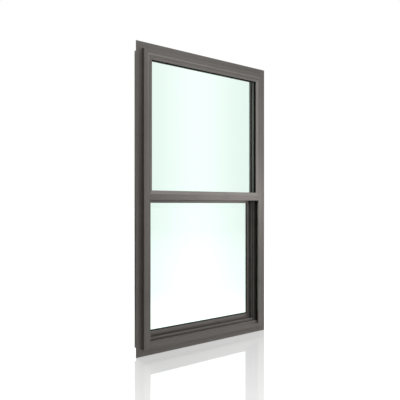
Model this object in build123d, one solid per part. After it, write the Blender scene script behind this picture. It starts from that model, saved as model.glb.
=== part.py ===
"""Single hung window: dark bronze aluminium frame with a nail fin all round,
a fixed upper lite glazed from outside and a lower sash behind it.

Frame: +X right seen from outside, +Y into the building, +Z up, millimetres.
The origin lies on the back face of the nail fin, in the middle of the sill fin.
"""
import os

from build123d import *

# frame
WIDTH = 914.4
HEIGHT = 1574.8
FIN = 36.5
FIN_T = 1.6
FRONT = 22.2
DEPTH = 88.9
WALL = 2.0
EDGE_R = 0.8

# section of head and jambs: o runs inward from the frame's outer face, y back from its front face
LEG = 41.3
LIP = 10.0
REED = 14.0
REED_MID = 30.0
REED_RISE = 1.4
LITE_SIDE = 56.0
LITE_HEAD = 52.0
PART_EDGE = 52.0
PART_FRONT = 33.2
PART_DEPTH = 12.0
INNER_LEG = 34.0

# sill, heights above the frame's bottom
NOSE = 16.5
NOSE_TOP = 27.5
NOSE_RUN = 14.0
RIB = 38.0
TRACK = 27.0
UPSTAND = 53.0
SEAT = 44.0
SEAT_LEG = 62.0
DAM = 62.0

# glazing
GLASS = 6.0
GASKET = 2.0
BITE = 10.0
GASKET_BITE = 8.0
GASKET_SHOW = 0.6
BEAD_STEP = 0.6
BEAD_NOSE = 8.0
BEAD_NOSE_T = 2.0
BEAD_NOSE_W = 3.0
BEAD_WALL = 1.6

# meeting rail, heights above the frame's bottom
MEET = 783.7
MEET_H = 31.2
MEET_BEAD = 18.2
MEET_SEAL = 4.8
INTERLOCK_UP = 6.0

# sash
SASH_DEPTH = 25.4
SASH_ROOM = 1.5
SASH_SIDE = 24.0
SASH_GAP = 2.0
SASH_LAP = 18.3
RAIL = 33.5
STILE = 59.0
REBATE = 14.0
SASH_GASKET = 4.0
SASH_GASKET_SHOW = 0.6
SASH_GASKET_SILL = 4.5
SASH_BEAD = 12.0
GUIDE = 19.0
LIFT = 16.0
LIFT_LIP = 3.0
LIFT_ROOM = 6.0

# seals
SEAL = 1.6
SEAL_FOOT = 8.0
SEAL_OUT = 8.5
SEAL_TOUCH = 0.2
SEAL_END = 5.0
SILL_SEAL = 8.0

# balances
BALANCE_WIDE = 20.0
BALANCE_DEEP = 18.0
BALANCE_WALL = 1.5
BALANCE_BELOW = 63.0
BALANCE_DROP = 162.0
BALANCE_FOOT = 30.0
BALANCE_CAP = 20.0

# lock
LOCK_LONG = 64.0
LOCK_WIDE = 22.0
LOCK_BASE = 4.0
LOCK_BOSS = 10.5
LOCK_BOSS_H = 9.0
LEVER = 40.0
LEVER_WIDE = 9.0
LEVER_T = 5.0
TONGUE = 18.0
TONGUE_T = 4.0
KEEPER = 50.0
KEEPER_H = 20.0
KEEPER_T = 1.4
LOCK_CLEAR = 1.0

Y0 = -(FRONT + FIN_T)
Z0 = FIN / 2
HALF = WIDTH / 2
PART_BACK = PART_FRONT + PART_DEPTH
GLASS_BACK = PART_FRONT - GASKET
GLASS_FRONT = GLASS_BACK - GLASS
BEAD_BACK = GLASS_FRONT - GASKET
LITE_BOTTOM = MEET + MEET_H + MEET_BEAD
LITE_TOP = HEIGHT - LITE_HEAD
SASH_BACK = DEPTH - WALL - SASH_ROOM
SASH_FRONT = SASH_BACK - SASH_DEPTH
SASH_GLASS = SASH_FRONT + WALL + SASH_GASKET
SASH_EDGE = SASH_SIDE + STILE
SASH_TOP = MEET + SASH_LAP
INTERLOCK_TIP = SASH_FRONT - MEET_SEAL
SASH_BOTTOM = SEAT + SASH_GAP
SASH_HALF = HALF - SASH_SIDE

parts = {}


def block(x, y, z):
    """Box from three spans: X from the middle, y from the front face, z from the frame's bottom."""
    size = [span[1] - span[0] for span in (x, y, z)]
    mid = [(span[0] + span[1]) / 2 for span in (x, y, z)]
    return Pos(mid[0], mid[1] + Y0, mid[2] + Z0) * Box(*size)


def rect(a, b):
    """Rectangle of a section from its two spans."""
    return Pos((a[0] + a[1]) / 2, (b[0] + b[1]) / 2) * Rectangle(a[1] - a[0], b[1] - b[0])


def outline(*points):
    return make_face(Polyline(*points, close=True))


def softened(face, *corners):
    """Section with the corners at the given points rounded."""
    picked = [v for v in face.vertices() if any(abs(v.X - c[0]) + abs(v.Y - c[1]) < 0.01 for c in corners)]
    return fillet(picked, EDGE_R)


def hollow(face, wall=WALL):
    """Tube section: the face less the same face set in by the wall."""
    return face - offset(face, -wall, kind=Kind.INTERSECTION)


def upright(face, side, z):
    """Section (o, y) drawn up between two heights against one jamb, side -1 left or 1 right."""
    bar = Pos(-HALF, Y0, z[0] + Z0) * extrude(face, z[1] - z[0])
    return bar if side < 0 else mirror(bar, Plane.YZ)


def level(face, reach, z):
    """Section (y, height) drawn along X as far as reach to both sides, its height counted from z."""
    plane = Plane(origin=(-reach, Y0, z + Z0), x_dir=(0, 1, 0), z_dir=(1, 0, 0))
    return extrude(plane * face, 2 * reach)


def ring(y, outer, inner):
    """Flat rectangular ring between two depths; outer and inner are (o, z low, z high)."""
    o, low, high = outer
    body = block((-HALF + o, HALF - o), y, (low, high))
    o, low, high = inner
    return body - block((-HALF + o, HALF - o), (y[0] - WALL, y[1] + WALL), (low, high))


def plate(y, *points):
    """Plate between two depths from its corners in X and height."""
    plane = Plane(origin=(0, Y0 + y[0], Z0), x_dir=(1, 0, 0), z_dir=(0, -1, 0))
    return extrude(plane * outline(*points), y[0] - y[1])


def fin_plate(*points):
    """Nail fin of one member from its corners in X and height."""
    return plate((FRONT, FRONT + FIN_T), *points)


def perimeter_section():
    """Section shared by head and jambs: web, reeded front leg, parting box and inner leg."""
    face = rect((0, WALL), (0, DEPTH)) + rect((0, LEG), (0, WALL)) + rect((LEG - WALL, LEG), (0, LIP))
    face += rect((0, INNER_LEG), (DEPTH - WALL, DEPTH))
    face += rect((0, PART_EDGE), (PART_FRONT, PART_FRONT + WALL))
    face += rect((0, PART_EDGE), (PART_BACK - WALL, PART_BACK))
    face += rect((PART_EDGE - WALL, PART_EDGE), (PART_FRONT, PART_BACK))
    face = softened(
        face, (0, 0), (LEG, 0), (0, DEPTH), (INNER_LEG, DEPTH), (PART_EDGE, PART_FRONT), (PART_EDGE, PART_BACK)
    )
    low, high = REED_MID - REED / 2, REED_MID + REED / 2
    arc = ThreePointArc((low, 0), (REED_MID, -REED_RISE), (high, 0))
    close = Polyline((high, 0), (high, WALL / 2), (low, WALL / 2), (low, 0))
    return face + make_face([arc, *close.edges()])


def sill_section():
    """Sill as (y, height): sloped nose with a rib, screen track, upstand, seat for the sash and dam."""
    rib_back, upstand_back, dam_front = NOSE_RUN + WALL, PART_FRONT + WALL, DEPTH - WALL
    face = outline(
        (0, 0), (DEPTH, 0), (DEPTH, DAM), (dam_front, DAM), (dam_front, SEAT), (upstand_back, SEAT),
        (upstand_back, UPSTAND), (PART_FRONT, UPSTAND), (PART_FRONT, TRACK), (rib_back, TRACK),
        (rib_back, RIB), (NOSE_RUN, RIB), (NOSE_RUN, NOSE_TOP), (0, NOSE),
    )
    face -= outline(
        (WALL, WALL), (PART_FRONT, WALL), (PART_FRONT, TRACK - WALL), (NOSE_RUN, TRACK - WALL),
        (WALL, NOSE - WALL / 2),
    )
    face -= rect((upstand_back, SEAT_LEG), (WALL, SEAT - WALL))
    face -= rect((SEAT_LEG + WALL, dam_front), (WALL, SEAT - WALL))
    return softened(face, (0, 0), (0, NOSE), (NOSE_RUN, RIB), (PART_FRONT, UPSTAND), (DEPTH, DAM))


def bead_section(width):
    """Snap-in bead as (o, y): a leg against what carries it and a flange sloping back to its nose."""
    slope = (BEAD_NOSE - BEAD_STEP) / width
    back = BEAD_NOSE + BEAD_NOSE_T
    face = outline(
        (0, BEAD_STEP), (width, BEAD_NOSE), (width, back), (width - BEAD_NOSE_W, back),
        (BEAD_WALL, BEAD_STEP + BEAD_WALL * (1 + slope)), (BEAD_WALL, BEAD_BACK), (0, BEAD_BACK),
    )
    return softened(face, (width, BEAD_NOSE))


def cope(side):
    """Space that a jamb takes up, filled, for cutting the ends of what meets it."""
    face = rect((0, WALL), (0, DEPTH)) + rect((0, LEG), (0, LIP))
    face += rect((0, PART_EDGE), (PART_FRONT, PART_BACK))
    face += rect((0, INNER_LEG), (DEPTH - WALL, DEPTH))
    return upright(face, side, (-WALL, HEIGHT))


# frame: jambs run down past the sill, and meet the head in mitres

section = perimeter_section()
corner = Plane(origin=(-HALF, Y0 - DEPTH, HEIGHT + Z0), x_dir=(1, 0, 0), z_dir=(0, -1, 0))
far = 2 * DEPTH
past_head = extrude(corner * outline((-FIN, FIN), (far, FIN), (far, -far)), -3 * DEPTH)
past_jamb = extrude(corner * outline((-FIN, FIN), (-FIN, -far), (far, -far)), -3 * DEPTH)
out = HALF + FIN
for side, word in ((-1, "left"), (1, "right")):
    body = upright(section, side, (0, HEIGHT))
    body -= past_head if side < 0 else mirror(past_head, Plane.YZ)
    fin = fin_plate((side * HALF, 0), (side * out, -FIN), (side * out, HEIGHT + FIN), (side * HALF, HEIGHT))
    parts["frame_jamb_" + word] = body + fin

head = Pos(-HALF, Y0, HEIGHT + Z0) * Rot(0, 90, 0) * extrude(section, WIDTH)
head = head - past_jamb - mirror(past_jamb, Plane.YZ)
fin = fin_plate((-HALF, HEIGHT), (-out, HEIGHT + FIN), (out, HEIGHT + FIN), (HALF, HEIGHT))
parts["frame_head"] = head + fin

sill = level(sill_section(), HALF - WALL, 0) - cope(-1) - cope(1)
parts["frame_sill"] = sill + fin_plate((-HALF, 0), (HALF, 0), (out, -FIN), (-out, -FIN))

top = MEET_H + MEET_BEAD
rail = outline((0, 0), (PART_BACK, 0), (PART_BACK, top), (PART_FRONT, top), (PART_FRONT, MEET_H), (0, MEET_H))
rail = softened(hollow(rail), (0, 0), (0, MEET_H), (PART_BACK, top))
rail += rect((PART_BACK - WALL, INTERLOCK_TIP), (INTERLOCK_UP, INTERLOCK_UP + WALL))
parts["meeting_rail"] = level(rail, HALF - WALL, MEET) - cope(-1) - cope(1)

# fixed lite: glass between two gaskets, held from outside by snap-in beads that meet in mitres

outer, inner = HALF - LEG, HALF - LITE_SIDE
low, high = MEET + MEET_H, HEIGHT - LEG
through = (0, DEPTH)
bead = Pos(LEG, 0) * bead_section(LITE_SIDE - LEG)
for side, word in ((-1, "left"), (1, "right")):
    edge, nose = side * outer, side * inner
    mitre = plate(through, (edge, low), (edge, high), (nose, LITE_TOP), (nose, LITE_BOTTOM))
    parts["fixed_bead_" + word] = upright(bead, side, (low, high)) & mitre

plane = Plane(origin=(-outer, Y0, high + Z0), x_dir=(0, 0, -1), z_dir=(1, 0, 0))
mitre = plate(through, (-outer, high), (outer, high), (inner, LITE_TOP), (-inner, LITE_TOP))
parts["fixed_bead_top"] = extrude(plane * bead_section(LITE_HEAD - LEG), 2 * outer) & mitre
plane = Plane(origin=(outer, Y0, low + Z0), x_dir=(0, 0, 1), z_dir=(-1, 0, 0))
mitre = plate(through, (-outer, low), (outer, low), (inner, LITE_BOTTOM), (-inner, LITE_BOTTOM))
parts["fixed_bead_bottom"] = extrude(plane * bead_section(MEET_BEAD), 2 * outer) & mitre

pane = HALF - PART_EDGE + BITE
parts["fixed_glass"] = block((-pane, pane), (GLASS_FRONT, GLASS_BACK), (LITE_BOTTOM - BITE, LITE_TOP + BITE))
for word, edge, y in (
    ("outer", LITE_SIDE, (BEAD_NOSE + BEAD_NOSE_T, GLASS_FRONT)),
    ("inner", PART_EDGE, (GLASS_BACK, PART_FRONT)),
):
    parts["fixed_gasket_" + word] = ring(
        y,
        (PART_EDGE - GASKET_BITE, LITE_BOTTOM - GASKET_BITE, LITE_TOP + GASKET_BITE),
        (edge + GASKET_SHOW, LITE_BOTTOM + GASKET_SHOW, LITE_TOP - GASKET_SHOW),
    )

# sash: rails run the full width, stiles stand between them, glass is held by inside beads

tube = RAIL - REBATE
leg_back = SASH_FRONT + WALL
rail = hollow(rect((SASH_FRONT, SASH_BACK), (0, tube))) + rect((SASH_FRONT, leg_back), (tube - WALL, RAIL))
rail = softened(rail, (SASH_FRONT, 0), (SASH_FRONT, RAIL), (SASH_BACK, 0))
tip = SASH_BACK + LIFT
lift = rect((SASH_BACK - WALL, tip), (tube - WALL, tube))
lift += rect((tip - WALL, tip), (tube - WALL, tube + LIFT_LIP))
lift = level(lift, HALF - INNER_LEG - LIFT_ROOM, SASH_BOTTOM)
parts["sash_rail_bottom"] = level(rail, SASH_HALF, SASH_BOTTOM) + lift
parts["sash_rail_top"] = level(mirror(rail, Plane.XZ), SASH_HALF, SASH_TOP)

stile = hollow(rect((0, STILE - REBATE), (SASH_FRONT, SASH_BACK)))
stile += rect((STILE - REBATE - WALL, STILE), (SASH_FRONT, leg_back))
stile = softened(stile, (STILE, SASH_FRONT), (0, SASH_BACK))
stile = Pos(SASH_SIDE, 0) * (stile + rect((-GUIDE, WALL), (SASH_FRONT, SASH_FRONT + WALL)))
low, high = SASH_BOTTOM + tube, SASH_TOP - tube
leg = (SASH_FRONT - WALL, leg_back)
rails = block((-HALF, HALF), leg, (low - WALL, low + REBATE))
rails += block((-HALF, HALF), leg, (high - REBATE, high + WALL))
for side, word in ((-1, "left"), (1, "right")):
    parts["sash_stile_" + word] = upright(stile, side, (low, high)) - rails

bead_front = SASH_GLASS + GLASS + GASKET
bead = outline((0, bead_front), (SASH_BEAD, bead_front), (BEAD_WALL, SASH_BACK), (0, SASH_BACK))
reach = HALF - SASH_EDGE
run = reach + REBATE
sides = []
for side, word in ((-1, "left"), (1, "right")):
    bar = upright(Pos(SASH_EDGE - REBATE, 0) * bead, side, (low, high))
    parts["sash_bead_" + word] = bar
    sides.append(bar)
plane = Plane(origin=(run, Y0, low + Z0), x_dir=(0, 0, 1), z_dir=(-1, 0, 0))
parts["sash_bead_bottom"] = extrude(plane * bead, 2 * run) - sides
plane = Plane(origin=(-run, Y0, high + Z0), x_dir=(0, 0, -1), z_dir=(1, 0, 0))
parts["sash_bead_top"] = extrude(plane * bead, 2 * run) - sides

low, high = low + REBATE, high - REBATE
pane = reach + BITE
parts["sash_glass"] = block((-pane, pane), (SASH_GLASS, SASH_GLASS + GLASS), (low - BITE, high + BITE))
for word, y in (
    ("outer", (SASH_GLASS - SASH_GASKET, SASH_GLASS)),
    ("inner", (SASH_GLASS + GLASS, SASH_GLASS + GLASS + GASKET)),
):
    parts["sash_gasket_" + word] = ring(
        y,
        (SASH_EDGE - GASKET_BITE, low - GASKET_BITE, high + GASKET_BITE),
        (SASH_EDGE + SASH_GASKET_SHOW, low + SASH_GASKET_SILL, high - SASH_GASKET_SHOW),
    )

# weather seals between frame and sash

touch = SASH_FRONT - SEAL_TOUCH
edge = PART_EDGE + SEAL_OUT
seal = rect((edge - SEAL, edge), (PART_BACK, touch))
seal += rect((PART_EDGE - SEAL_FOOT, edge), (PART_BACK, PART_BACK + SEAL))
for side, word in ((-1, "left"), (1, "right")):
    parts["jamb_seal_" + word] = upright(seal, side, (SEAT, MEET))
reach = HALF - edge - SEAL_END
low = MEET + INTERLOCK_UP + WALL / 2
seal_z = (low - SEAL_FOOT / 2, low + SEAL_FOOT / 2)
parts["meeting_seal"] = block((-reach, reach), (INTERLOCK_TIP, touch), seal_z)
reach = SASH_HALF - SEAL_END
seal_y = (SASH_FRONT + WALL, SASH_FRONT + WALL + SILL_SEAL)
parts["sill_seal"] = block((-reach, reach), seal_y, (SEAT, SASH_BOTTOM))

# balances: channels with an end block each, standing against the jamb webs beside the sash

span = (WALL, WALL + BALANCE_WIDE)
mid = SASH_FRONT + SASH_DEPTH / 2
depth = (mid - BALANCE_DEEP / 2, mid + BALANCE_DEEP / 2)
case = rect(span, depth)
channel = case - rect((span[0], span[1] - BALANCE_WALL), (depth[0] + BALANCE_WALL, depth[1] - BALANCE_WALL))
low, high = SASH_TOP - BALANCE_BELOW, HEIGHT - BALANCE_DROP
for side, word in ((-1, "left"), (1, "right")):
    ends = upright(case, side, (low, low + BALANCE_FOOT)) + upright(case, side, (high - BALANCE_CAP, high))
    parts["balance_" + word] = upright(channel, side, (low, high)) + ends

# lock on the sash's top rail, and its keeper on the back of the meeting rail

top = SASH_TOP + Z0
mid = Y0 + SASH_FRONT + SASH_DEPTH / 2
base = extrude(Pos(0, mid, top) * RectangleRounded(LOCK_LONG, LOCK_WIDE, LOCK_WIDE / 4), LOCK_BASE)
boss = Cylinder(LOCK_BOSS, LOCK_BOSS_H, align=(Align.CENTER, Align.CENTER, Align.MIN))
boss = Pos(0, mid, top + LOCK_BASE) * fillet(boss.edges().sort_by(Axis.Z)[-1], LOCK_BOSS / 4)
lever_z = top + LOCK_BASE + LOCK_BOSS_H - LEVER_T - LOCK_CLEAR
lever = extrude(Pos(LEVER / 2, mid, lever_z) * SlotCenterToCenter(LEVER, LEVER_WIDE), LEVER_T)
tongue_y = (PART_BACK + KEEPER_T + SEAL_TOUCH, SASH_FRONT + SASH_DEPTH / 2)
tongue_z = (SASH_TOP + LOCK_BASE, SASH_TOP + LOCK_BASE + TONGUE_T)
parts["sash_lock"] = base + boss + lever + block((-TONGUE / 2, TONGUE / 2), tongue_y, tongue_z)
plate_y = (PART_BACK, PART_BACK + KEEPER_T)
plate = block((-KEEPER / 2, KEEPER / 2), plate_y, (SASH_TOP - WALL, SASH_TOP - WALL + KEEPER_H))
hook_z = (tongue_z[1] + LOCK_CLEAR, tongue_z[1] + LOCK_CLEAR + TONGUE_T)
hook = block((-TONGUE, TONGUE), (PART_BACK, SASH_FRONT + WALL), hook_z)
parts["lock_keeper"] = plate + hook

os.makedirs("parts", exist_ok=True)
for name, solid in parts.items():
    export_step(solid, "parts/" + name + ".step")
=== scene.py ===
import math

import bpy
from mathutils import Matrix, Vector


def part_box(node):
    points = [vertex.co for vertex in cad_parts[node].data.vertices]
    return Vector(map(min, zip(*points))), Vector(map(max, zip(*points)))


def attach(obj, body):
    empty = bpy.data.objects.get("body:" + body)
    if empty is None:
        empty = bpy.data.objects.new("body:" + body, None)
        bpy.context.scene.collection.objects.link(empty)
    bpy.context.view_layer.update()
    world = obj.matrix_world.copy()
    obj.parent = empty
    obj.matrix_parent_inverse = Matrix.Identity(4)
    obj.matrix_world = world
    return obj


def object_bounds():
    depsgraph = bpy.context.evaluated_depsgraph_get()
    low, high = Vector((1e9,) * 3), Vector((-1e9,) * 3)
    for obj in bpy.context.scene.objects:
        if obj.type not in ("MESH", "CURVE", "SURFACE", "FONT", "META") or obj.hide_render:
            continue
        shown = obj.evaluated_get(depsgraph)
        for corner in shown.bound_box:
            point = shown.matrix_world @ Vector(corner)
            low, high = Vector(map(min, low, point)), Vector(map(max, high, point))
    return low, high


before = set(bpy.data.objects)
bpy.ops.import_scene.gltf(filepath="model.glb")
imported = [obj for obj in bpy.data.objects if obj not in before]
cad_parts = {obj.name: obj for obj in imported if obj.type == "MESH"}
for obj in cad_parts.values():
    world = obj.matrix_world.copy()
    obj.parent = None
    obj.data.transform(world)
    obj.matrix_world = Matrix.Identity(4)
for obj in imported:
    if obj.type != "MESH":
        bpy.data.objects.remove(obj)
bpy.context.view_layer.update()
bpy.context.scene.view_settings.view_transform = "Standard"
bpy.ops.object.select_all(action="DESELECT")


# Perimeter frame: jambs, head and sill are hollow aluminium extrusions with the nail fin in one piece with
# them. The head is mitred to the jambs, and the sill stands between them. All are coated dark bronze, with
# the faint die lines of the press running along each length.


class Shade:
    """A socket in one material; sums and products of such sockets become Math nodes."""

    def __init__(self, tree, socket=None):
        self.tree = tree
        self.socket = socket

    def make(self, kind, settings, sockets, output=0):
        """Adds a node of one kind, sets its settings, then the values or links of its sockets."""
        node = self.tree.nodes.new("ShaderNode" + kind)
        for name, value in settings.items():
            if name == "stops":
                while len(node.color_ramp.elements) < len(value):
                    node.color_ramp.elements.new(0.5)
                for stop, (place, colour) in zip(node.color_ramp.elements, value):
                    stop.position = place
                    stop.color = (*colour, 1)
            else:
                setattr(node, name, value)
        for name, value in sockets.items():
            if isinstance(value, Shade):
                self.tree.links.new(value.socket, node.inputs[name])
            else:
                node.inputs[name].default_value = value
        return Shade(self.tree, node.outputs[output] if node.outputs else None)

    def math(self, operation, *values):
        return self.make("Math", {"operation": operation}, dict(enumerate(values)))

    def __add__(self, other):
        return self.math("ADD", self, other)

    def __radd__(self, other):
        return self.math("ADD", other, self)

    def __sub__(self, other):
        return self.math("SUBTRACT", self, other)

    def __rsub__(self, other):
        return self.math("SUBTRACT", other, self)

    def __mul__(self, other):
        return self.math("MULTIPLY", self, other)

    def __rmul__(self, other):
        return self.math("MULTIPLY", other, self)


def new_finish(name):
    """An empty material and the maker of its nodes."""
    material = bpy.data.materials.new(name)
    material.use_nodes = True
    material.node_tree.nodes.clear()
    return material, Shade(material.node_tree)


def close_finish(maker, shader):
    maker.make("OutputMaterial", {}, {"Surface": shader})


def dress(finish, *nodes):
    """Gives CAD pieces their finish in place of the plain one that they came with."""
    for node in nodes:
        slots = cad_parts[node].data.materials
        slots.clear()
        slots.append(finish)


def bronze_coating(name, along):
    """Satin bronze coating on an extrusion whose length runs along the given axis."""
    material, maker = new_finish(name)
    place = maker.make("TexCoord", {}, {}, "Object")
    lines_across = 260.0
    lines_along = 1.6
    stretch = [lines_across] * 3
    stretch[along] = lines_along
    drawn = maker.make("Mapping", {}, {"Vector": place, "Scale": stretch})
    lines = maker.make("TexNoise", {}, {"Vector": drawn, "Scale": 1.0, "Detail": 3.0})
    grain = maker.make("TexNoise", {}, {"Vector": place, "Scale": 1400.0, "Detail": 1.0})
    cloud = maker.make("TexNoise", {}, {"Vector": place, "Scale": 5.0, "Detail": 2.0})
    colour = maker.make(
        "ValToRGB",
        {"stops": [(0.3, (0.114, 0.104, 0.096)), (0.7, (0.131, 0.12, 0.11))]},
        {"Fac": 0.5 * cloud + 0.3 * lines + 0.2 * grain},
    )
    bump = maker.make(
        "Bump", {}, {"Strength": 0.12, "Distance": 0.0002, "Height": 0.7 * lines + 0.3 * grain}
    )
    shader = maker.make(
        "BsdfPrincipled",
        {},
        {
            "Base Color": colour,
            "Roughness": 0.22 + 0.08 * cloud + 0.06 * grain,
            "Metallic": 0.35,
            "Normal": bump,
        },
    )
    close_finish(maker, shader)
    return material


bronze_upright = bronze_coating("bronze_upright", 2)
bronze_level = bronze_coating("bronze_level", 0)
dress(bronze_upright, "frame_jamb_left", "frame_jamb_right")
dress(bronze_level, "frame_head", "frame_sill")


# Meeting rail: a hollow bronze extrusion across the frame, coped round the jambs' parting boxes. It carries
# the foot of the upper glass, and the lower sash closes behind it.

dress(bronze_level, "meeting_rail")


# Frame screws: hex screws of plain steel with a washer and a dished head, driven through the jamb webs
# into the ends of the sill, the meeting rail and the head. They stand behind the fin, where the wall hides
# them once the window is in place.


def pick(piece, wanted):
    """Leaves selected, in edit mode, only the faces of a piece that are wanted."""
    bpy.ops.object.mode_set(mode="EDIT")
    bpy.ops.mesh.select_mode(type="FACE")
    bpy.ops.mesh.select_all(action="DESELECT")
    bpy.ops.object.mode_set(mode="OBJECT")
    for face in piece.data.polygons:
        face.select = wanted(face)
    bpy.ops.object.mode_set(mode="EDIT")


def raise_face(rise, grow):
    """Extrudes the selected face along Z, then scales it about the Z axis."""
    bpy.ops.mesh.extrude_region_move(
        TRANSFORM_OT_translate={"value": (0, 0, rise), "orient_type": "GLOBAL"}
    )
    bpy.ops.transform.resize(value=(grow, grow, 1), center_override=(0, 0, 0))


def start_head(sides, radius, height):
    """A round disc on z = 0, the start of a screw's head."""
    bpy.ops.object.select_all(action="DESELECT")
    bpy.ops.mesh.primitive_cylinder_add(
        vertices=sides, radius=radius, depth=height, location=(0, 0, height / 2)
    )
    bpy.ops.object.transform_apply(location=True, rotation=True, scale=True)
    return bpy.context.active_object


def top_face(piece):
    """Tells a piece's highest flat faces from the others."""
    highest = max(vertex.co.z for vertex in piece.data.vertices)
    return lambda face: face.normal.z > 0.9 and face.center.z > highest - 0.00005


def end_head():
    bpy.ops.object.mode_set(mode="OBJECT")
    bpy.ops.object.shade_smooth_by_angle(angle=math.radians(35))


def hex_screw(washer, washer_high, across, rise):
    """A hex head on its washer, with a dish in its top."""
    screw = start_head(24, washer, washer_high)
    pick(screw, top_face(screw))
    bpy.ops.mesh.bevel(offset=washer_high / 3, segments=2)
    bpy.ops.mesh.select_all(action="DESELECT")
    sunk = washer_high / 2
    bpy.ops.mesh.primitive_cylinder_add(
        vertices=6, radius=across / math.sqrt(3), depth=rise, location=(0, 0, sunk + rise / 2)
    )
    bpy.ops.object.mode_set(mode="OBJECT")
    pick(screw, top_face(screw))
    bpy.ops.mesh.bevel(offset=rise / 8, segments=2)
    bpy.ops.object.mode_set(mode="OBJECT")
    pick(screw, top_face(screw))
    bpy.ops.mesh.inset(thickness=across / 7)
    raise_face(-rise / 4, 0.9)
    end_head()
    return screw


def set_copy(model, name, spot, turn, finish):
    """Sets a copy of a model at its place, with the place in its own mesh, to ride with the frame."""
    bpy.ops.object.select_all(action="DESELECT")
    model.select_set(True)
    bpy.context.view_layer.objects.active = model
    bpy.ops.object.duplicate(linked=False)
    piece = bpy.context.active_object
    piece.name = name
    piece.location = spot
    piece.rotation_euler = turn
    bpy.ops.object.transform_apply(location=True, rotation=True, scale=True)
    piece.data.materials.append(finish)
    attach(piece, "root")


def plain_steel():
    """Zinc-plated steel, a little duller in patches."""
    material, maker = new_finish("plain_steel")
    place = maker.make("TexCoord", {}, {}, "Object")
    patch = maker.make("TexNoise", {}, {"Vector": place, "Scale": 420.0, "Detail": 4.0})
    colour = maker.make(
        "ValToRGB", {"stops": [(0.3, (0.36, 0.35, 0.33)), (0.7, (0.52, 0.51, 0.48))]}, {"Fac": patch}
    )
    bump = maker.make("Bump", {}, {"Strength": 0.1, "Distance": 0.0001, "Height": patch})
    shader = maker.make(
        "BsdfPrincipled",
        {},
        {"Base Color": colour, "Roughness": 0.45 - 0.2 * patch, "Metallic": 1.0, "Normal": bump},
    )
    close_finish(maker, shader)
    return material


steel = plain_steel()
quarter = math.radians(90)
jamb_wall = 0.002
fin_wide = 0.0365
screw_inset = 0.014
rail_low, rail_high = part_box("meeting_rail")
jamb_low, jamb_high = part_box("frame_jamb_right")
web = rail_high[0] + jamb_wall
depths = (0.3 * jamb_high[1], 0.72 * jamb_high[1])
screw_spots = []
for height in (jamb_low[2] + fin_wide + screw_inset, jamb_high[2] - fin_wide - screw_inset):
    screw_spots += [(depth, height) for depth in depths]
for height in (rail_low[2] + screw_inset, rail_high[2] - screw_inset):
    screw_spots.append((depths[0], height))
screw_model = hex_screw(washer=0.0056, washer_high=0.0012, across=0.0072, rise=0.0036)
for side, word in ((-1, "left"), (1, "right")):
    for number, (depth, height) in enumerate(screw_spots, 1):
        name = f"frame_screw_{word}_{number}"
        set_copy(screw_model, name, (side * web, depth, height), (0, side * quarter, 0), steel)
bpy.data.objects.remove(screw_model)


# Upper lite: a clear laminated sheet with a faint green cast, set from outside against a rubber gasket,
# with a second gasket wedged in front of it. The rubber is black, matt and a little dusty.


def clear_glass():
    """Clear glass whose cast varies very slightly over the sheet."""
    material, maker = new_finish("clear_glass")
    place = maker.make("TexCoord", {}, {}, "Object")
    cast = maker.make("TexNoise", {}, {"Vector": place, "Scale": 1.5, "Detail": 1.0})
    colour = maker.make(
        "ValToRGB", {"stops": [(0.3, (0.822, 0.974, 0.902)), (0.7, (0.83, 0.976, 0.91))]}, {"Fac": cast}
    )
    shader = maker.make(
        "BsdfPrincipled",
        {},
        {"Base Color": colour, "Roughness": 0.0, "IOR": 1.5, "Transmission Weight": 1.0},
    )
    close_finish(maker, shader)
    return material


def dull_strip(name, dark, light, stretch, height):
    """Matt finish of a gasket or a pile seal: dust between two shades, over grain of a given height."""
    material, maker = new_finish(name)
    place = maker.make("TexCoord", {}, {}, "Object")
    dust = maker.make("TexNoise", {}, {"Vector": place, "Scale": 60.0, "Detail": 4.0})
    colour = maker.make("ValToRGB", {"stops": [(0.35, dark), (0.75, light)]}, {"Fac": dust})
    along = maker.make("Mapping", {}, {"Vector": place, "Scale": stretch})
    grain = maker.make("TexNoise", {}, {"Vector": along, "Scale": 1.0, "Detail": 2.0})
    bump = maker.make("Bump", {}, {"Strength": 0.5, "Distance": height, "Height": grain})
    shader = maker.make(
        "BsdfPrincipled",
        {},
        {
            "Base Color": colour,
            "Roughness": 0.6 + 0.2 * dust,
            "Specular IOR Level": 0.05,
            "Normal": bump,
        },
    )
    close_finish(maker, shader)
    return material


glass = clear_glass()
rubber = dull_strip("black_rubber", (0.007, 0.007, 0.007), (0.016, 0.015, 0.014), (900, 900, 900), 0.0002)
dress(glass, "fixed_glass")
dress(rubber, "fixed_gasket_outer", "fixed_gasket_inner")


# Glazing beads of the upper lite: slim bronze extrusions that snap in from outside after the glass and hold
# its front gasket. They are cut to mitres at the four corners.

dress(bronze_upright, "fixed_bead_left", "fixed_bead_right")
dress(bronze_level, "fixed_bead_top", "fixed_bead_bottom")


# Balances: dark aluminium channels in the jamb pockets, with a spring and cord inside that carry the sash.
# A round-head screw through the top of each fixes it to the jamb web.


def dark_channel():
    """Dark aluminium with drawn lines along the channel."""
    material, maker = new_finish("dark_channel")
    place = maker.make("TexCoord", {}, {}, "Object")
    drawn = maker.make("Mapping", {}, {"Vector": place, "Scale": (300, 300, 2)})
    lines = maker.make("TexNoise", {}, {"Vector": drawn, "Scale": 1.0})
    colour = maker.make(
        "ValToRGB", {"stops": [(0.3, (0.04, 0.042, 0.04)), (0.7, (0.05, 0.052, 0.05))]}, {"Fac": lines}
    )
    shader = maker.make(
        "BsdfPrincipled", {}, {"Base Color": colour, "Roughness": 0.4 + 0.2 * lines, "Metallic": 0.6}
    )
    close_finish(maker, shader)
    return material


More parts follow.
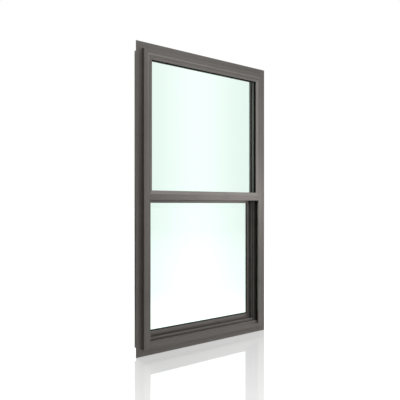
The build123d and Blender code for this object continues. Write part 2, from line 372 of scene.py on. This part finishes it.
def cross_screw(radius, rise):
    """A round screw head with a cross recess in its top."""
    screw = start_head(16, radius, rise / 2)
    pick(screw, top_face(screw))
    raise_face(rise / 3, 0.82)
    raise_face(rise / 6, 0.75)
    bpy.ops.mesh.inset(thickness=radius / 20)
    bpy.ops.mesh.select_mode(type="VERT")
    bpy.ops.object.mode_set(mode="OBJECT")
    for vertex in screw.data.vertices:
        slant = math.degrees(math.atan2(vertex.co.y, vertex.co.x)) % 90
        vertex.select = vertex.select and abs(slant - 45) < 1
    bpy.ops.object.mode_set(mode="EDIT")
    bpy.ops.transform.resize(value=(0.35, 0.35, 1), center_override=(0, 0, 0))
    bpy.ops.object.mode_set(mode="OBJECT")
    is_top = top_face(screw)
    flat = [face for face in screw.data.polygons if is_top(face)]
    cross = min(flat, key=lambda face: math.hypot(face.center.x, face.center.y)).index
    pick(screw, lambda face: face.index == cross)
    raise_face(-rise / 2, 0.8)
    end_head()
    return screw


channel = dark_channel()
dress(channel, "balance_left", "balance_right")
cap_drop = 0.01
screw_model = cross_screw(radius=0.0036, rise=0.0022)
for side, word in ((-1, "left"), (1, "right")):
    channel_low, channel_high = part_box("balance_" + word)
    inner = channel_high[0] if side < 0 else channel_low[0]
    spot = (inner, (channel_low[1] + channel_high[1]) / 2, channel_high[2] - cap_drop)
    set_copy(screw_model, "balance_screw_" + word, spot, (0, -side * quarter, 0), steel)
bpy.data.objects.remove(screw_model)


# Lower sash: two bronze rails across the full width with two stiles between them. Its glass and gaskets are
# the same as above, set from the room side, and four bronze beads snap in behind them.

dress(bronze_upright, "sash_stile_left", "sash_stile_right", "sash_bead_left", "sash_bead_right")
dress(bronze_level, "sash_rail_top", "sash_rail_bottom", "sash_bead_top", "sash_bead_bottom")
dress(glass, "sash_glass")
dress(rubber, "sash_gasket_outer", "sash_gasket_inner")


# Weather seals: strips of grey pile, slid into grooves of the jambs, the meeting rail and the sash's
# bottom rail, which brush against the piece that faces them.

pile = dull_strip("grey_pile", (0.085, 0.079, 0.073), (0.12, 0.112, 0.104), (2500, 2500, 400), 0.0004)
dress(pile, "jamb_seal_left", "jamb_seal_right", "meeting_seal", "sill_seal")


# Lock and keeper: die-cast pieces painted bronze. The lock is screwed to the sash's top rail and swings
# its tongue under the hook of the keeper, which is screwed to the back of the meeting rail.


def cast_paint():
    """Satin bronze paint over the fine orange-peel skin of a casting."""
    material, maker = new_finish("cast_paint")
    place = maker.make("TexCoord", {}, {}, "Object")
    skin = maker.make("TexNoise", {}, {"Vector": place, "Scale": 700.0, "Detail": 2.0})
    cloud = maker.make("TexNoise", {}, {"Vector": place, "Scale": 40.0, "Detail": 2.0})
    colour = maker.make(
        "ValToRGB",
        {"stops": [(0.3, (0.11, 0.101, 0.094)), (0.7, (0.132, 0.122, 0.112))]},
        {"Fac": 0.7 * cloud + 0.3 * skin},
    )
    bump = maker.make("Bump", {}, {"Strength": 0.2, "Distance": 0.0002, "Height": skin})
    shader = maker.make(
        "BsdfPrincipled",
        {},
        {"Base Color": colour, "Roughness": 0.3 + 0.1 * cloud, "Metallic": 0.2, "Normal": bump},
    )
    close_finish(maker, shader)
    return material


paint = cast_paint()
dress(paint, "sash_lock", "lock_keeper")
base_high = 0.004
base_reach = 0.024
plate_thick = 0.0014
plate_reach = 0.0215
lock_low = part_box("sash_lock")[0]
keeper_low, keeper_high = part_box("lock_keeper")
sash_low, sash_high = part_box("sash_rail_top")
lock_spot = ((sash_low[1] + sash_high[1]) / 2, lock_low[2] + base_high)
keeper_spot = (keeper_low[1] + plate_thick, (keeper_low[2] + keeper_high[2]) / 2)
screw_model = cross_screw(radius=0.0029, rise=0.0018)
for side, word in ((-1, "left"), (1, "right")):
    spot = (side * base_reach, *lock_spot)
    set_copy(screw_model, "lock_screw_" + word, spot, (0, 0, 0), paint)
    spot = (side * plate_reach, *keeper_spot)
    set_copy(screw_model, "keeper_screw_" + word, spot, (-quarter, 0, 0), paint)
bpy.data.objects.remove(screw_model)


# Floor: a white glossy studio floor under the fin's bottom edge. Its mirror image of the window fades to
# the front and to the back. It is white to the camera and to the glass, and it takes the window's shadow.
# Round the window its white is raised further by a painted pool of light, which fades out with distance.

low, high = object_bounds()
floor_size = 200
mirror_share = 0.55
mirror_front = -1.96
mirror_back = 1.5
# Reach and strength of the painted pool of light round the window.
painted_glow_near, painted_glow_far, painted_glow_level = 1.0, 14.0, 0.14
white_level = 0.85
bpy.ops.object.select_all(action="DESELECT")
bpy.ops.mesh.primitive_plane_add(size=floor_size, location=(0, 0, low[2]))
floor = bpy.context.active_object
floor.name = "floor"
material, maker = new_finish("white_floor")
place = maker.make("TexCoord", {}, {}, "Object")
ahead = maker.make("SeparateXYZ", {}, {"Vector": place}, "Y")
far = maker.make("VectorMath", {"operation": "LENGTH"}, {0: place}, "Value")
behind = maker.math("GREATER_THAN", ahead, 0.0)
fade = maker.make("MapRange", {}, {0: ahead, 1: mirror_front, 2: 0.0, 3: 0.0, 4: mirror_share})
fade = fade * maker.make("MapRange", {}, {0: ahead, 1: 0.0, 2: mirror_back, 3: 1.0, 4: 0.0})
# Painted pool of light: the floor's emission is raised near the window and fades to nothing far off.
painted_glow = maker.make("MapRange", {}, {0: far, 1: painted_glow_near, 2: painted_glow_far, 3: painted_glow_level, 4: 0.0})
ray = maker.make("LightPath", {}, {}, "Is Camera Ray")
glossy = maker.make("LightPath", {}, {}, "Is Glossy Ray")
through = maker.make("LightPath", {}, {}, "Is Transmission Ray")
seen = maker.math("MINIMUM", ray + glossy + through, 1.0)
bounced = maker.math("MINIMUM", maker.make("LightPath", {}, {}, "Glossy Depth"), 1.0)
strength = white_level + painted_glow - bounced * (0.5 + 0.3 * behind)
white = maker.make("Emission", {}, {"Color": (1, 1, 1, 1), "Strength": strength})
shaded = maker.make("BsdfDiffuse", {}, {"Color": (0.4, 0.4, 0.4, 1)})
bright = maker.make("AddShader", {}, {0: white, 1: shaded})
unseen = maker.make("BsdfDiffuse", {}, {"Color": (0.2, 0.2, 0.2, 1)})
matt = maker.make("MixShader", {}, {0: seen, 1: unseen, 2: bright})
mirror = maker.make("BsdfGlossy", {}, {"Color": (1, 1, 1, 1), "Roughness": 0.04})
mirrored = fade * ray + 0.6 * bounced * (1.0 - behind)
close_finish(maker, maker.make("MixShader", {}, {0: mirrored, 1: matt, 2: mirror}))
floor.data.materials.append(material)


# Surroundings: white to the camera and behind the glass. They light the window softly, from the front and
# from the room most. In the glass and the gloss of the coating they are darker at the right front, but for
# one bright strip there.

base_level, front_level, back_level = 0.29, 3.5, 1.1
strip_level, dark_level, bright_level = 2.7, 0.1, 2.4
world = bpy.data.worlds.new("white_surroundings")
bpy.context.scene.world = world
world.use_nodes = True
world.node_tree.nodes.clear()
maker = Shade(world.node_tree)
direct = maker.math("LESS_THAN", maker.make("LightPath", {}, {}, "Diffuse Depth"), 0.5)
ray = maker.make("LightPath", {}, {}, "Is Camera Ray") * direct
through = maker.make("LightPath", {}, {}, "Is Transmission Ray") * direct
glossy = maker.make("LightPath", {}, {}, "Is Glossy Ray") * direct * (1.0 - through)
place = maker.make("TexCoord", {}, {}, "Generated")


def facing(direction):
    """How far the sky's direction points the given way, from -1 to 1."""
    return maker.make("VectorMath", {"operation": "DOT_PRODUCT"}, {0: place, 1: direction}, "Value")


def ease(value, start, end, first, last):
    """Goes smoothly from the first level to the last between two values."""
    smooth = {"interpolation_type": "SMOOTHSTEP"}
    return maker.make("MapRange", smooth, {0: value, 1: start, 2: end, 3: first, 4: last})


front = maker.math("MAXIMUM", facing((-0.12, -0.993, 0.0)), 0.0)
back = maker.math("MAXIMUM", facing((0.12, 0.993, 0.0)), 0.0)
soft = base_level + front_level * maker.math("POWER", front, 10.0) + back_level * back * back
ahead = facing((0.659, -0.752, 0.0))
aside = maker.math("ABSOLUTE", facing((0.752, 0.659, 0.0)))
strip = ease(aside, 0.0, 0.09, strip_level, 0.0) * ease(ahead, 0.8, 1.0, 0.0, 1.0)
ring = ease(ahead, 0.78, 0.95, 1.0, dark_level)
ring = ring * ease(facing((0.0, -1.0, 0.0)), 0.1, 0.5, 1.0, bright_level)
level = soft + ray * (1.0 - soft) + glossy * (ring + strip - soft) + through * (1.0 - soft)
sky = maker.make("Background", {}, {"Color": (1, 1, 1, 1), "Strength": level})
maker.make("OutputWorld", {}, {"Surface": sky})


# Studio lamps: a tall soft panel at the right front, a small one high at the left, one in the room, and
# a soft spot on the meeting rail. They show neither to the camera nor in the glass.

middle = (low[2] + high[2]) / 2
for name, kind, spot, aim, size, power in (
    ("panel_right", "AREA", (0.75, -0.8, 0.85), (0.4, 0.0, 0.85), (0.3, 0.9), 8.5),
    ("panel_left", "AREA", (-0.45, -0.7, 1.8), (-0.45, 0.0, 1.6), (0.3, 0.3), 2.2),
    ("panel_room", "AREA", (-0.1, 0.9, 1.3), (0.0, 0.0, middle), (0.6, 0.6), 24),
    ("spot_rail", "SPOT", (1.0, -0.9, 0.82), (0.05, 0.0, 0.82), (0.1, 40), 70),
):
    lamp = bpy.data.lights.new(name, kind)
    lamp.energy = power
    if kind == "AREA":
        lamp.shape = "RECTANGLE"
        lamp.size, lamp.size_y = size
    else:
        lamp.shadow_soft_size = size[0]
        lamp.spot_size = math.radians(size[1])
        lamp.spot_blend = 1.0
    lamp_object = bpy.data.objects.new(name, lamp)
    bpy.context.collection.objects.link(lamp_object)
    lamp_object.location = spot
    lamp_object.visible_camera = False
    lamp_object.visible_glossy = False
    lamp_object.visible_transmission = False
    across, along, rise = (end - start for start, end in zip(spot, aim))
    tilt = math.atan2(math.hypot(across, along), -rise)
    lamp_object.rotation_euler = (tilt, 0, math.atan2(-across, along))


# Camera: a 50 mm lens, level, at about half the window's height. It stands outside, to the left, at the
# picture's angle, and is shifted a little to frame the window as the picture does.

camera_spot = (-2.15365, -2.3748, low[2] + 0.7934)
camera_turn = -41.5427
camera = bpy.data.cameras.new("camera")
camera.lens = 50
camera.sensor_width = 36
camera.shift_y = 0.0123
camera_object = bpy.data.objects.new("camera", camera)
bpy.context.collection.objects.link(camera_object)
camera_object.location = camera_spot
camera_object.rotation_euler = (quarter, 0, math.radians(camera_turn))
bpy.context.scene.camera = camera_object
